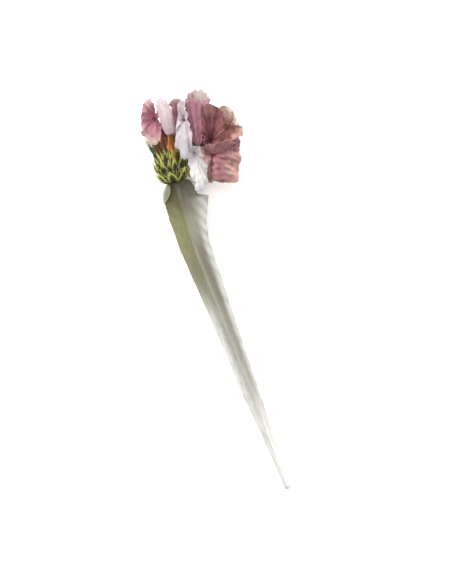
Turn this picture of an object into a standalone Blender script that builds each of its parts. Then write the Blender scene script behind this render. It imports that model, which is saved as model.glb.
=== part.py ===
"""A sprig of preserved statice, lying on a surface with its flower head down on its own petals.

Lengths are in millimetres in this drawing and are scaled to metres when a mesh is made. The sprig lies along
+Y, from the cut end of its stem to the top of its flower head, and +Z is up. Its one-sided head arches over
to +X.
"""

import math

import bmesh
import bpy
import numpy as np

MM = 0.001

# Driving dimensions.
STEM_LENGTH = 68.7  # from the cut end to the top of the wings
WALL = 0.26  # thickness of a papery calyx
BRACT_WALL = 0.22
GAP = 0.24  # air between two neighbouring bracts
HEAD_HEIGHT = 8.2  # of the flower axis above the surface

# The middle line of the stem and of the flower axis that it carries on into the head: x, y, z and radius.
STEM_LINE = [
    (0.0, 0.0, 0.45, 0.43),
    (-0.35, 14.0, 2.1, 0.62),
    (-1.0, 32.0, 4.2, 0.68),
    (-1.7, 48.0, 6.0, 0.74),
    (-1.85, 57.0, 7.0, 0.8),
    (-1.45, 62.8, 7.65, 0.82),
    (-1.0, 67.2, 8.1, 0.8),
    (-1.0, 69.4, 8.15, 0.72),
    (-0.8, 72.2, 7.8, 0.62),
    (-0.1, 74.4, 7.5, 0.58),
    (1.3, 76.1, 7.6, 0.58),
    (3.6, 76.7, HEAD_HEIGHT, 0.62),
    (6.1, 75.7, HEAD_HEIGHT, 0.66),
    (7.7, 73.8, HEAD_HEIGHT, 0.66),
    (8.1, 72.6, HEAD_HEIGHT, 0.5),
]
# Outer edges of the two broad wings, as y and x along the stem.
LEFT_EDGE = [(0.0, -0.5), (4.0, -0.9), (8.0, -1.2), (14.5, -1.8), (22.0, -2.6), (33.0, -3.1), (44.0, -3.9),
             (55.5, -4.8), (62.0, -4.9), (66.0, -4.8), (68.0, -4.4), (68.7, -3.7)]
RIGHT_EDGE = [(0.0, 0.5), (4.0, 0.8), (11.0, 0.95), (20.0, 1.0), (31.0, 1.1), (42.5, 1.35), (53.0, 1.5),
              (56.0, 1.6), (59.4, 2.3), (61.7, 3.2), (63.8, 4.1), (65.0, 4.7), (65.4, 4.4), (65.8, 3.1),
              (66.3, 2.5), (67.2, 2.3), (68.0, 1.9), (68.7, 1.1)]
WING_THICKNESS = 0.42
RIDGE = 0.9  # height of the narrow third wing along the top of the stem
RIDGE_END = 67.5

# The cup of bracts stands round this axis.
CUP_FOOT = np.array([-1.05, 69.3, HEAD_HEIGHT])
CUP_AXIS = np.array([0.122, 0.993, 0.0])
CUP_RIGHT = np.array([0.993, -0.122, 0.0])
CUP_UP = np.array([0.0, 0.0, 1.0])


def unit(v):
    return v / np.linalg.norm(v)


def spline(points, steps):
    """A smooth curve through the points, of any number of values each, with steps pieces between two."""
    p = np.array(points, float)
    p = np.vstack([2 * p[0] - p[1], p, 2 * p[-1] - p[-2]])
    found = []
    for a, b, c, d in zip(p, p[1:], p[2:], p[3:]):
        for t in np.arange(steps) / steps:
            found.append(
                0.5
                * (2 * b + (c - a) * t + (2 * a - 5 * b + 4 * c - d) * t**2 + (3 * b - a - 3 * c + d) * t**3)
            )
    return np.array([*found, p[-2]])


# Materials and objects.


def paint(name, colour, roughness=0.85):
    material = bpy.data.materials.new(name)
    material.use_nodes = True
    shader = material.node_tree.nodes["Principled BSDF"]
    shader.inputs["Base Color"].default_value = (*colour, 1.0)
    shader.inputs["Roughness"].default_value = roughness
    shader.inputs["Metallic"].default_value = 0.0
    return material


def add_object(name, bm, material, parent):
    bmesh.ops.recalc_face_normals(bm, faces=bm.faces)
    bmesh.ops.scale(bm, vec=(MM, MM, MM), verts=bm.verts)
    mesh = bpy.data.meshes.new(name)
    bm.to_mesh(mesh)
    bm.free()
    mesh.shade_smooth()
    mesh.set_sharp_from_angle(angle=math.radians(50))
    mesh.materials.append(material)
    made = bpy.data.objects.new(name, mesh)
    bpy.context.scene.collection.objects.link(made)
    made.parent = parent
    return made


def thicken(made, wall):
    solid = made.modifiers.new("wall", "SOLIDIFY")
    solid.thickness = wall * MM
    solid.offset = 0.0
    return made


# The stem.


def stem_ring(middle, ahead, radius, left, right, ridge):
    """One cross-section: a round core, a broad wing each side and a narrow one on top, as points round it."""
    side = unit(np.array([ahead[1], -ahead[0], 0.0]))
    up = np.cross(side, ahead)
    half = WING_THICKNESS / 2
    wave = 0.5 * math.sin(middle[1] / 5.2) + 0.25 * math.sin(middle[1] / 2.3 + 1.0)
    outline = [(left, 0.4 * half), (left / 2 - radius / 2, half), (-radius, half)]
    outline += [(-0.62 * radius, 0.78 * radius), (-0.18, radius + ridge), (0.18, radius + ridge)]
    outline += [(0.62 * radius, 0.78 * radius), (radius, half)]
    outline += [(right / 2 + radius / 2, half), (right, 0.4 * half)]
    outline += [(right, -0.4 * half), (right / 2 + radius / 2, -half), (radius, -half)]
    outline += [(0.62 * radius, -0.78 * radius), (0.0, -radius), (-0.62 * radius, -0.78 * radius)]
    outline += [(-radius, -half)]
    outline += [(left / 2 - radius / 2, -half), (left, -0.4 * half)]
    points = []
    for across, high in outline:
        beyond = max(0.0, abs(across) - radius)
        lift = beyond * (0.07 + 0.03 * wave * math.copysign(1, across))
        points.append(middle + side * across + up * (high + lift))
    return points


def make_stem(material, parent):
    line = spline(STEM_LINE, 4)
    rings = []
    for i, (x, y, z, radius) in enumerate(line):
        before, after = line[max(i - 1, 0)], line[min(i + 1, len(line) - 1)]
        ahead = unit((after - before)[:3])
        middle = np.array([x, y, z])
        winged = y <= STEM_LENGTH and i < len(line) * 0.6
        left = np.interp(y, *zip(*LEFT_EDGE)) - x if winged else -radius * 1.02
        right = np.interp(y, *zip(*RIGHT_EDGE)) - x if winged else radius * 1.02
        ridge = RIDGE * min(1.0, max(0.0, RIDGE_END - y) / 4) if winged else 0.0
        rings.append(stem_ring(middle, ahead, radius, left, right, ridge))
    bm = bmesh.new()
    loops = [[bm.verts.new(p) for p in ring] for ring in rings]
    for near, far in zip(loops, loops[1:]):
        for i in range(len(near)):
            bm.faces.new((near[i - 1], near[i], far[i], far[i - 1]))
    bm.faces.new(reversed(loops[0]))
    bm.faces.new(loops[-1])
    return add_object("winged_stem", bm, material, parent)


# The bracts of the cup.


def cup_radius(layer, height):
    """Inner bracts are layer 0. Each layer leaves the stem lower and stands further out."""
    stretch = max(0.0, height - CUP_STARTS[layer])
    return CUP_THROAT + (0.85 + 0.46 * layer) * (1 - math.exp(-stretch / 0.8))


CUP_THROAT = 1.27  # radius at which the bracts leave the stem
CUP_STARTS = [1.6, 0.9, 0.35, -0.15]
BRACTS = [
    # name, layer, degrees round the cup from the top towards the right, height of the tip, half width, splay
    ("inner_bract_1", 0, 20, 7.4, 1.0, 0.4),
    ("inner_bract_2", 0, -40, 8.7, 0.9, 0.3),
    ("inner_bract_3", 0, 68, 6.4, 0.85, 0.0),
    ("inner_bract_4", 0, 124, 6.0, 0.85, 0.0),
    ("inner_bract_5", 0, -92, 7.8, 0.85, 0.0),
    ("inner_bract_6", 0, -148, 6.6, 0.9, 0.0),
    ("middle_bract_1", 1, -16, 8.0, 0.9, 0.3),
    ("middle_bract_2", 1, 44, 7.6, 0.9, 0.15),
    ("middle_bract_3", 1, -65, 7.6, 0.95, 0.1),
    ("middle_bract_4", 1, 94, 5.6, 0.95, 0.1),
    ("middle_bract_5", 1, 146, 5.8, 0.95, 0.1),
    ("middle_bract_6", 1, -119, 6.6, 0.95, 0.2),
    ("middle_bract_7", 1, -168, 6.0, 0.95, 0.2),
    ("outer_bract_1", 2, -82, 6.2, 1.05, 1.1),
    ("outer_bract_2", 2, 68, 5.8, 1.05, 0.1),
    ("outer_bract_3", 2, -34, 5.2, 1.05, 0.1),
    ("outer_bract_4", 2, 16, 4.9, 1.05, 0.1),
    ("outer_bract_5", 2, 120, 4.8, 1.1, 0.2),
    ("outer_bract_6", 2, 174, 5.0, 1.1, 0.2),
    ("outer_bract_7", 2, -132, 5.4, 1.1, 0.3),
    ("rim_bract_1", 3, -58, 2.6, 1.1, 0.2),
    ("rim_bract_2", 3, -6, 2.2, 1.1, 0.15),
    ("rim_bract_3", 3, 44, 2.5, 1.1, 0.15),
    ("rim_bract_4", 3, 108, 2.0, 0.95, 0.35),
    ("rim_bract_5", 3, 160, 2.3, 1.05, 0.25),
    ("rim_bract_6", 3, -112, 2.4, 1.15, 0.2),
]
BRACT_SECTOR = math.radians(22.5)  # that one bract may fill on each side of its keel
BRACT_ROWS = 5
BRACT_COLUMNS = 4


def bract_outline(t):
    """Share of the full width at t from foot to tip: widest below the middle, then a long point."""
    return max(0.08, (0.62 + 2.1 * t) * (1 - t) ** 1.15)


def make_bract(name, frame, reach, foot, tip, degrees, half_width, material, parent):
    """A pointed leaf held against a round stalk.

    Frame is a place and three directions: along the stalk, to its right and up. Reach is the distance from
    the stalk's middle at a share of the leaf's own length and a height along the stalk.
    """
    place, along, right, up = frame
    bm = bmesh.new()
    bmesh.ops.create_grid(bm, x_segments=BRACT_COLUMNS, y_segments=BRACT_ROWS, size=1.0)
    for vert in bm.verts:
        across, t = vert.co.x, ((vert.co.y + 1) / 2) ** 1.5
        height = foot + (tip - foot) * t
        radius = reach(t, height) + 0.06 * (1 - abs(across)) * t
        half_turn = min(half_width * bract_outline(t), radius * BRACT_SECTOR - GAP / 3) / radius
        turn = math.radians(degrees) + across * half_turn
        vert.co = place + along * height + (right * math.sin(turn) + up * math.cos(turn)) * radius
    return thicken(add_object(name, bm, material, parent), BRACT_WALL)


def make_cup_bract(name, layer, degrees, tip, half_width, splay, material, parent):
    def reach(t, height):
        return cup_radius(layer, height) + splay * t**2

    frame = (CUP_FOOT, CUP_AXIS, CUP_RIGHT, CUP_UP)
    return make_bract(name, frame, reach, CUP_STARTS[layer], tip, degrees, half_width, material, parent)


# The scale leaf at the node, a thin crescent over the edge of the left wing: x, y, z and half its width.
SCALE_LEAF = [(-2.8, 68.8, 9.1, 0.4), (-3.1, 68.3, 9.05, 0.8), (-3.55, 67.6, 8.95, 0.9),
              (-4.1, 66.8, 8.7, 0.6), (-4.6, 66.0, 8.5, 0.1)]


def make_scale_leaf(material, parent):
    bm = bmesh.new()
    line = spline(SCALE_LEAF, 2)
    rows = []
    for x, y, z, half in line:
        side = np.array([0.85, -0.5, 0.0]) * half
        middle = np.array([x, y, z])
        row = [middle + side * t + CUP_UP * 0.35 * (1 - t * t) * half for t in (-1, -0.35, 0.35, 1)]
        rows.append([bm.verts.new(place) for place in row])
    for near, far in zip(rows, rows[1:]):
        for i in range(3):
            bm.faces.new((near[i], near[i + 1], far[i + 1], far[i]))
    return thicken(add_object("scale_leaf", bm, material, parent), BRACT_WALL)


# The calyces.

CALYCES = [
    dict(
        seat=(-1.3, 74.2, 8.4), out=(0.03, 0.99, 0.1),
        throat=(-0.3, 82.5, 10.8), face=(-0.12, 0.41, 0.9),
        start=0.4, end=0.35,
        rim=[
            (-2.8, 77.7, 12.4, 160), (-1.4, 77.8, 12.8, 150), (-0.4, 79.4, 13.2, 85), (0, 82.4, 14, 40),
            (0.1, 85.6, 14.7, 50), (0.2, 86.8, 15.8, 70), (-1.7, 86.6, 15.3, 80), (-3, 84.7, 14.6, 85),
            (-3.8, 82.1, 13.6, 95), (-3.9, 79.5, 12.6, 140),
        ],
    ),
    dict(
        seat=(-0.1, 74.4, 8.6), out=(0.27, 0.96, 0.02),
        throat=(1.4, 79, 11.8), face=(0.08, 0.9, 0.43),
        start=0.0, end=0.62, bulb=1.7,
        rim=[
            (1.9, 86, 17, 0), (2.8, 85, 16.6, 0), (3.1, 83.6, 15.2, 5), (3.2, 84.2, 13.2, 10),
            (3, 86.1, 11.8, 25), (2.2, 87.3, 11.2, 25), (1.3, 87, 12.2, 25), (0.8, 85.9, 14, 10),
            (1, 85.5, 16.2, 0),
        ],
    ),
    dict(
        seat=(3.8, 76.8, 9.3), out=(0.1, 0.28, 0.95),
        throat=(5.1, 80.5, 13.6), face=(0.06, 0.03, 1),
        start=0.45, end=0.4,
        rim=[
            (2.1, 73, 12.8, 165), (3.6, 73.3, 13.8, 150), (4.8, 75.4, 15.4, 120), (5.6, 78, 16.4, 90),
            (5.9, 80.9, 16.8, 60), (6.2, 83, 17, 50), (5.9, 84.2, 17, 50), (4.8, 83.7, 16.4, 60),
            (3.9, 81.3, 15.6, 80), (2.8, 79, 14.8, 120), (1.9, 77, 13.8, 140), (1.7, 74.9, 13.1, 155),
        ],
    ),
    dict(
        seat=(3.3, 77.7, 8.3), out=(0.33, 0.94, 0.1),
        throat=(3.6, 80.6, 8.9), face=(0.27, 0.93, 0.25),
        start=0.2, end=0.4,
        rim=[
            (3.4, 85.2, 10.6, 40), (3.9, 85.5, 12.6, 30), (5, 85.3, 14, 15), (5.8, 84.9, 14, 15),
            (6.2, 84.4, 12.2, 30), (6.4, 84.7, 9.8, 40), (6.1, 85.4, 8, 40), (5.5, 86.2, 7, 40),
            (4.2, 86.1, 8.2, 40),
        ],
    ),
    dict(
        seat=(6, 76.8, 8.9), out=(0.03, 0.09, 0.99),
        throat=(6.2, 75, 12.2), face=(0.19, 0.9, 0.4),
        start=0.02, end=0.5, bulb=1.3,
        rim=[
            (6.7, 84, 16.2, 5), (7.8, 83.9, 17.6, 0), (9, 83.4, 18, 0), (9.9, 82.5, 17.4, 5),
            (11, 82.8, 15.4, 20), (11.6, 84.4, 13.2, 35), (10.6, 85.9, 12, 40), (9, 86.3, 11.8, 40),
            (7.5, 85.7, 12.6, 35), (6.6, 84.6, 14.6, 20),
        ],
    ),
    dict(
        seat=(7.5, 75.1, 9.1), out=(0.2, 0.26, 0.94),
        throat=(8.8, 74.6, 11.2), face=(0.1, 0.18, 0.98),
        start=0.35, end=0.3,
        rim=[
            (9.6, 81.7, 17.4, 50), (10.9, 81.6, 18, 40), (12, 80.9, 18, 40), (12.6, 79.5, 17.8, 20),
            (12.3, 77.3, 17.4, 20), (11.5, 75.3, 16.8, 20), (10.2, 73.9, 15.4, 20),
            (8.6, 73.3, 14.6, 20), (7.5, 73.8, 14.6, 20), (7.4, 75.5, 15.6, 20), (8, 77.8, 16.8, 30),
            (8.9, 80.2, 17.2, 40),
        ],
    ),
    dict(
        seat=(8.3, 74.9, 8.4), out=(0.83, 0.4, 0.39),
        throat=(12.8, 75.9, 10.6), face=(0.37, 0.14, 0.92),
        start=0.35, end=0.3,
        rim=[
            (12.7, 80.5, 15, 50), (14.1, 80.1, 16.4, 70), (15.2, 78.6, 15.9, 80), (15.5, 76.2, 15.1, 85),
            (15.6, 73.6, 13.8, 95), (14.7, 73.3, 13.8, 85), (13.5, 73.4, 14.4, 60), (12, 72.9, 14, 30),
            (10, 73.8, 12.8, 30), (11.3, 77.3, 13, 30),
        ],
    ),
    dict(
        seat=(7.9, 73, 9.2), out=(0.01, -0.11, 0.99),
        throat=(8.2, 71.9, 11.9), face=(0.11, -0.14, 0.98),
        start=0.4, end=0.4,
        rim=[
            (8, 73.4, 16.2, 20), (10, 73.4, 17.2, 20), (11.6, 73, 17.2, 30), (13.1, 73, 16.4, 50),
            (13.8, 71.6, 15, 80), (13.4, 69.2, 14.2, 100), (12.6, 66.9, 13.4, 115),
            (10.9, 65, 12.7, 120), (9.2, 65, 12.4, 120), (7.7, 66.3, 12.9, 115), (6.6, 67.6, 12, 90),
            (6.4, 69.5, 13.6, 90), (6.1, 71.9, 15, 80), (6.2, 73.9, 15.3, 60),
        ],
    ),
    dict(
        seat=(9, 73, 8.2), out=(1, 0, 0.05),
        throat=(11, 73, 8.4), face=(0.99, 0.05, 0.1),
        rim=[
            (13.8, 72.9, 11, 40), (13.2, 71.5, 10.3, 50), (13.1, 70.1, 9.3, 80), (13.7, 70.6, 7.8, 50),
            (14.1, 71.7, 6.8, 30), (13.2, 73.1, 6.9, 10), (13.6, 74, 7.6, 10), (13.8, 74.5, 8.1, 15),
            (13.3, 75.2, 9.3, 40), (12.8, 74.6, 10.7, 70),
        ],
    ),
    dict(
        seat=(4.6, 75.6, 9), out=(-0.1, -0.3, 0.95),
        throat=(4.8, 73.8, 11.2), face=(-0.07, -0.35, 0.94),
        start=0.35, end=0.4,
        rim=[
            (4.3, 74.8, 13.6, 60), (5.6, 74.5, 13.4, 50), (6.6, 73.5, 13.2, 60), (6.6, 72.1, 12.9, 80),
            (6.4, 69.9, 11.8, 110), (5.7, 67.5, 11.2, 120), (4.5, 65.9, 10.9, 130),
            (3.4, 65.4, 10.8, 130), (2.8, 66.6, 11, 125), (2.6, 68.8, 11.6, 120), (2.7, 71.3, 12.2, 110),
            (3.4, 73.7, 12.8, 90),
        ],
    ),
    dict(
        seat=(0.7, 76.7, 7), out=(-0.58, 0.58, -0.58),
        throat=(-1.2, 79.4, 4.8), face=(-0.16, 0.88, -0.44),
        rim=[
            (-2.2, 83.7, 5.8, 35), (-0.8, 83.1, 5.1, 25), (0, 82.7, 3.9, 0), (0.4, 82.1, 2.8, 5),
            (-0.1, 82, 1.6, 25), (-1.4, 80.8, 1.2, 25), (-3.3, 80.7, 1.2, 45), (-3.9, 81.3, 2.8, 30),
            (-4.4, 82.1, 4.1, 35), (-3.8, 82.5, 5.8, 65),
        ],
    ),
    dict(
        seat=(2, 77.3, 7.2), out=(0.1, 0.87, -0.48),
        throat=(2.4, 79.9, 5.9), face=(0.2, 0.88, -0.42),
        rim=[
            (3.3, 84.5, 6.1, 10), (4.8, 84.5, 5.8, 10), (4.6, 83.7, 4.3, 15), (4.1, 83.3, 3.8, 0),
            (3.8, 83.3, 3.3, 5), (2.9, 83.6, 1.5, 25), (1.2, 83.2, 2.1, 25), (0.8, 83.9, 3.4, 20),
            (0.4, 85.6, 4.6, 35), (1.6, 85.6, 6.1, 35),
        ],
    ),
    dict(
        seat=(4.1, 77.3, 7.4), out=(0.2, 0.59, -0.78),
        throat=(4.8, 79.3, 5), face=(0.3, 0.72, -0.62),
        rim=[
            (6.4, 83.7, 5.2, 55), (7.9, 82.5, 4.4, 30), (7.7, 81.8, 3.2, 15), (7.4, 80.8, 2.4, -5),
            (7, 80, 0.7, -20), (5.4, 80.4, 0.6, -25), (3.6, 81.6, 0.8, 30), (3.7, 82.5, 2.5, 15),
            (4.4, 83.1, 3.1, 10), (4.9, 83.1, 4, 10),
        ],
    ),
    dict(
        seat=(6.6, 76.3, 7.4), out=(0.4, 0.6, -0.7),
        throat=(8, 78.3, 5.3), face=(0.51, 0.63, -0.59),
        rim=[
            (11.5, 83, 5, 20), (12, 80.8, 5.3, 40), (12.8, 78.9, 4.2, 60), (12.4, 78.5, 1.9, 40),
            (11.1, 78.7, 0.5, 20), (8.6, 78.8, 0.4, 30), (8.3, 80.9, 1, 20), (8.5, 81.8, 2.4, 15),
            (8.6, 82.2, 3.5, 15), (9, 83.3, 5.3, 35),
        ],
    ),
    dict(
        seat=(8.7, 73.7, 7.6), out=(0.83, 0.09, -0.55),
        throat=(11, 73.9, 6), face=(0.8, 0, -0.6),
        rim=[
            (14.8, 73.9, 6.1, 15), (15, 72.9, 5, 15), (14.2, 72.1, 4.5, 15), (12.7, 70.9, 3.2, 70),
            (12.4, 72.3, 1.9, 40), (12.4, 73.9, 1.3, 25), (11.7, 76.1, 2.2, 60), (13.1, 77.1, 3.2, 45),
            (14.6, 76.9, 4.3, 35), (15.3, 75.8, 6.3, 60),
        ],
    ),
    dict(
        seat=(6.9, 73.9, 7.3), out=(-0.11, -0.65, -0.76),
        throat=(7, 72, 5.2), face=(0.3, -0.71, -0.63),
        rim=[
            (8.8, 68, 5.1, 20), (7.3, 67.3, 4.9, 20), (6.1, 67.4, 3.4, 30), (4.7, 68.2, 1.6, 50),
            (5.2, 70.5, 0.9, 65), (7.6, 70.4, 0.4, -5), (9.3, 71.2, 0.6, 30), (10.3, 71, 2.1, 25),
            (10.7, 70, 3.6, 25), (10.9, 67.8, 4.4, 30),
        ],
    ),
    dict(
        seat=(4.3, 75.9, 7.4), out=(-0.1, -0.63, -0.77),
        throat=(4, 74.2, 5.4), face=(-0.15, -0.68, -0.72),
        rim=[
            (2.7, 69.3, 4.9, 45), (1.3, 70.7, 4.7, 45), (-0.1, 72.2, 3.6, 55), (0.4, 73.4, 2.1, 35),
            (1.4, 74, 0.5, 25), (3.4, 74.5, 0.5, 40), (5.5, 73.7, 0.8, 50), (5, 71.9, 2.6, -10),
            (4.6, 71.2, 3, -10), (4.4, 70.6, 4, -5),
        ],
    ),
    dict(
        seat=(8.2, 72.2, 8.2), out=(0.1, -0.99, 0),
        throat=(8.3, 70.2, 8.3), face=(0, -0.99, 0.1),
        rim=[
            (8.4, 68.4, 11.3, 60), (6.9, 66.9, 11.1, 40), (5.8, 67, 9.5, 45), (4.8, 67.3, 7.1, 80),
            (6.7, 67, 6, 55), (8.3, 66, 5.4, 40), (10.3, 67.3, 5.8, 75), (11.8, 66.7, 7.6, 60),
            (11.1, 66.6, 9.6, 35), (10.3, 67.5, 11.5, 70),
        ],
    ),
]

PAPER_COLOURS = {
    "papery_mauve": (0.42, 0.2, 0.24),
    "papery_pale_pink": (0.72, 0.56, 0.6),
    "papery_white": (0.72, 0.66, 0.69),
    "papery_dusty_pink": (0.4, 0.18, 0.2),
    "papery_rose": (0.34, 0.15, 0.16),
}
CALYX_PAINTS = {
    1: "papery_mauve",
    2: "papery_pale_pink",
    3: "papery_white",
    8: "papery_dusty_pink",
    10: "papery_white",
}
TUBE_FOOT, TUBE_THROAT = 0.36, 0.5
TUBE_START, TUBE_END = 0.45, 0.4  # how far the tube keeps its first and last ways, as shares of its span
TUBE_ROWS, LIMB_ROWS, CALYX_COLUMNS = 3, 6, 20
PLEAT_DEPTH = 0.2
CURVE_STEPS = 12  # pieces between two points of a rim while it is measured out


def bezier(p0, p1, p2, p3, t):
    s = 1 - t
    return s**3 * p0 + 3 * s**2 * t * p1 + 3 * s * t**2 * p2 + t**3 * p3


def closed_curve(points, count):
    """A smooth closed curve through the points, cut into count even steps."""
    ring = spline([*points[-2:], *points, *points[:2]], CURVE_STEPS)[2 * CURVE_STEPS:-2 * CURVE_STEPS]
    length = np.concatenate([[0], np.cumsum(np.linalg.norm(np.diff(ring[:, :3], axis=0), axis=1))])
    steps = np.arange(count) / count * length[-1]
    return np.stack([np.interp(steps, length, values) for values in ring.T], axis=1)


def calyx_rings(seat, out, throat, face, rim, start=0.4, end=0.4, bulb=0.0):
    """The middle surface of a papery calyx, as rings of points from the foot of its tube to its lip.

    The tube sets off from its seat along out and reaches the throat along face. There the limb opens. Each
    point of the rim gives a place on the lip and the angle in degrees that the paper has turned away from
    face there. Start and end say how long it keeps those two ways, as shares of its reach. Bulb says how
    suddenly it opens.
    """
    seat, out, throat, face = (np.array(v, float) for v in (seat, out, throat, face))
    out, face = unit(out), unit(face)
    ring = closed_curve(rim, CALYX_COLUMNS)
    lip, angle = ring[:, :3], np.radians(ring[:, 3:])
    away = lip - throat
    radial = away - (away @ face)[:, None] * face
    radial /= np.linalg.norm(radial, axis=1)[:, None]
    reach = np.linalg.norm(away, axis=1)[:, None]
    foot = throat + radial * TUBE_THROAT
    rise = foot + face * start * reach + radial * bulb
    settle = lip - (np.cos(angle) * face + np.sin(angle) * radial) * end * reach
    share = np.linspace(0, 1, LIMB_ROWS)[:, None, None]
    limb = bezier(foot, rise, settle, lip, share)
    normal = np.cross(np.roll(limb, -1, axis=1) - np.roll(limb, 1, axis=1), np.gradient(limb, axis=0))
    normal /= np.linalg.norm(normal, axis=2)[..., None]
    pleats = PLEAT_DEPTH * (-1) ** np.arange(CALYX_COLUMNS)[:, None]
    limb = limb + normal * pleats * share
    span = np.linalg.norm(throat - seat)
    steps = (np.arange(TUBE_ROWS) / TUBE_ROWS)[:, None]
    line = bezier(seat, seat + out * TUBE_START * span, throat - face * TUBE_END * span, throat, steps)
    tube = []
    for place, ahead, t in zip(line, np.gradient(np.vstack([line, throat]), axis=0), steps):
        ahead = unit(ahead)
        around = radial - (radial @ ahead)[:, None] * ahead
        around /= np.linalg.norm(around, axis=1)[:, None]
        tube.append(place + around * (TUBE_FOOT + (TUBE_THROAT - TUBE_FOOT) * t))
    return [*tube, *limb]


def make_calyx(name, facts, material, parent):
    rings = calyx_rings(**facts)
    bm = bmesh.new()
    loops = [[bm.verts.new(p) for p in ring] for ring in rings]
    for near, far in zip(loops, loops[1:]):
        for i in range(len(near)):
            bm.faces.new((near[i - 1], near[i], far[i], far[i - 1]))
    bm.faces.new(reversed(loops[0]))
    return thicken(add_object(name, bm, material, parent), WALL)


# Small bracts on the tubes along the arched axis: number of the calyx, degrees round its tube and length.
AXIS_BRACTS = [(6, 200, 2.2), (10, 150, 1.4), (12, 300, 2.8), (13, 220, 2.8), (14, 260, 2.8),
               (15, 260, 2.8), (16, 100, 2.8), (17, 220, 2.8)]
AXIS_BRACT_WIDTH = 0.72
AXIS_BRACT_GAP = 0.26
AXIS_BRACT_SPREAD = 0.06  # that it moves out for each millimetre of its length


def make_axis_bract(name, facts, degrees, length, material, parent):
    def reach(t, height):
        return TUBE_FOOT + (WALL + BRACT_WALL) / 2 + AXIS_BRACT_GAP + AXIS_BRACT_SPREAD * height

    out = unit(np.array(facts["out"]))
    right = unit(np.cross(out, CUP_UP))
    frame = (np.array(facts["seat"]), out, right, np.cross(right, out))
    return make_bract(name, frame, reach, 0.0, length, degrees, AXIS_BRACT_WIDTH, material, parent)


def set_down(sprig):
    """Moves the sprig so that the middle of its footprint, at its lowest level, is the origin."""
    graph = bpy.context.evaluated_depsgraph_get()
    corners = []
    for made in sprig.children:
        solid = made.evaluated_get(graph).to_mesh()
        corners += [tuple(vert.co) for vert in solid.vertices]
    low, high = np.min(corners, axis=0), np.max(corners, axis=0)
    sprig.location = (-(low[0] + high[0]) / 2, -(low[1] + high[1]) / 2, -low[2])


def main():
    for old in list(bpy.data.objects):
        bpy.data.objects.remove(old, do_unlink=True)
    sprig = bpy.data.objects.new("sprig", None)
    bpy.context.scene.collection.objects.link(sprig)
    green = paint("dried_stem_green", (0.24, 0.24, 0.09))
    leafy = paint("bract_green", (0.3, 0.3, 0.08))
    brown = paint("bract_brown", (0.32, 0.14, 0.035))
    papers = {name: paint(name, colour) for name, colour in PAPER_COLOURS.items()}
    make_stem(green, sprig)
    for name, *facts in BRACTS:
        make_cup_bract(name, *facts, brown if name.startswith("inner") else leafy, sprig)
    make_scale_leaf(paint("scale_leaf_cream", (0.45, 0.44, 0.35)), sprig)
    for number, facts in enumerate(CALYCES, 1):
        make_calyx(f"calyx_{number}", facts, papers[CALYX_PAINTS.get(number, "papery_rose")], sprig)
    for i, (number, degrees, length) in enumerate(AXIS_BRACTS, 1):
        make_axis_bract(f"axis_bract_{i}", CALYCES[number - 1], degrees, length, leafy, sprig)
    set_down(sprig)


main()
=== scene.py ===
"""Looks of a sprig of preserved statice that lies on a pale floor.

Papery calyces and hairy bracts stand on a dried, winged stem. Lengths are in millimetres in the sprig's own
drawing, and are scaled to metres when a piece is finished.
"""
import math

import bmesh
import bpy
import numpy as np
from mathutils import Matrix, Vector


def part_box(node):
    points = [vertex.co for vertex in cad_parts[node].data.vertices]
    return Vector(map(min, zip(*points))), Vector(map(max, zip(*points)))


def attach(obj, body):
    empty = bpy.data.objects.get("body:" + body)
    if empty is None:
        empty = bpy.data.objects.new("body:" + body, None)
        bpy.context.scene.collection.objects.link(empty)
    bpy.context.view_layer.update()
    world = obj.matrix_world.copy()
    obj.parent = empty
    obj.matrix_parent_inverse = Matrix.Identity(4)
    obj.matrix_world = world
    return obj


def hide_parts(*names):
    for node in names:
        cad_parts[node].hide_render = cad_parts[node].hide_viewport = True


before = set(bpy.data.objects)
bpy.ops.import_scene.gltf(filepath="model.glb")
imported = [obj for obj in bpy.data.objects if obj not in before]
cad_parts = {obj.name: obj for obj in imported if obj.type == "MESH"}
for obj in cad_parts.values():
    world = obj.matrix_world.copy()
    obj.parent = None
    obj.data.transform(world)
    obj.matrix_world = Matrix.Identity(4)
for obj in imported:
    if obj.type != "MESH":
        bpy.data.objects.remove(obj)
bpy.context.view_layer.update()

MM = 0.001
# The stem's cut end is the origin of the drawing, and the stem's box begins at STEM_LOW there.
STEM_LOW = np.array([-4.882, -0.160, 0.023])
STEM_FOOT = np.array(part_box("winged_stem")[0]) / MM - STEM_LOW


# ---- curves and noise

FINE_STEPS = 24  # pieces between two points of a closed curve while it is measured out
LATE = 6.28  # the most that a wave starts late by, about a full turn
WAVE_RATE = 2.2  # radians that a wave turns by in its own size
MEAN_SWING = 0.64  # of a sine without its sign


def unit(v):
    return v / np.maximum(np.linalg.norm(v, axis=-1, keepdims=True), 1e-9)


def catmull(a, b, c, d, t):
    return 0.5 * (2 * b + (c - a) * t + (2 * a - 5 * b + 4 * c - d) * t**2 + (3 * b - a - 3 * c + d) * t**3)


def open_curve(points, count):
    """A smooth curve through the points, resampled evenly by index."""
    p = np.array(points, float)
    p = np.vstack([2 * p[0] - p[1], p, 2 * p[-1] - p[-2]])
    at = np.linspace(0, len(p) - 3 - 1e-6, count)
    i = at.astype(int)
    t = (at - i)[:, None]
    return catmull(p[i], p[i + 1], p[i + 2], p[i + 3], t)


def closed_curve(points, count):
    """A smooth closed curve through the points, resampled evenly along its length."""
    p = np.array(points, float)
    n = len(p)
    fine = np.arange(n * FINE_STEPS) / FINE_STEPS
    i = fine.astype(int)
    t = (fine - i)[:, None]
    ring = catmull(p[i - 1], p[i], p[(i + 1) % n], p[(i + 2) % n], t)
    ring = np.vstack([ring, ring[:1]])
    steps = np.linalg.norm(np.diff(ring[:, :3], axis=0), axis=1)
    length = np.concatenate([[0], np.cumsum(steps)])
    want = np.arange(count) / count * length[-1]
    return np.stack([np.interp(want, length, ring[:, k]) for k in range(ring.shape[1])], axis=1)


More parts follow.
